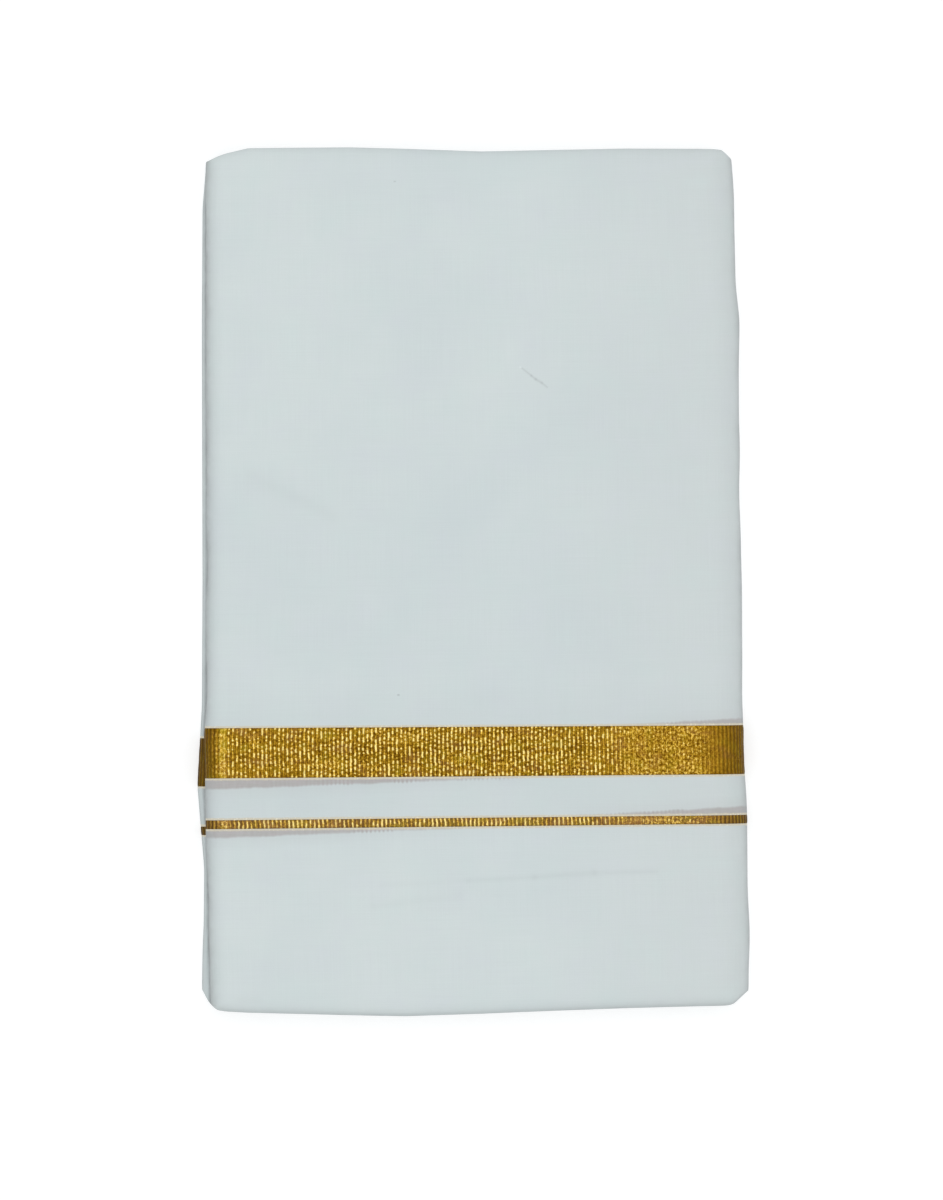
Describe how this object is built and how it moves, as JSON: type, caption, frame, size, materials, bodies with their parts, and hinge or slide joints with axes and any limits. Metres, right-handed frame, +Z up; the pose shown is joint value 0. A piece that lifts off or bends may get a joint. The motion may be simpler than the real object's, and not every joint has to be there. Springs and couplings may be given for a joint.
{
  "type": "folded dhoti cloth",
  "caption": "White cotton dhoti folded flat into a rectangular packet, with a wide woven gold border band and a thin gold line beside it.",
  "frame": {"origin": "centre of the packet's footprint, on the surface that it lies on", "axes": "+Z up out of the front of the packet, +Y along its length towards the end away from the border, +X across it towards the last fold"},
  "size_m": [0.2674, 0.4222, 0.026],
  "materials": {
    "cotton": "matt bleached white cotton, plain weave, slightly see-through",
    "zari": "gold zari thread, cross-ribbed weave, glittering"
  },
  "bodies": {
    "root": {"front_leaf": "cotton", "back_leaf": "cotton", "inner_leaves": "cotton", "front_zari_band": "zari", "front_zari_line": "zari", "back_zari_band": "zari", "back_zari_line": "zari"}
  },
  "joints": []
}
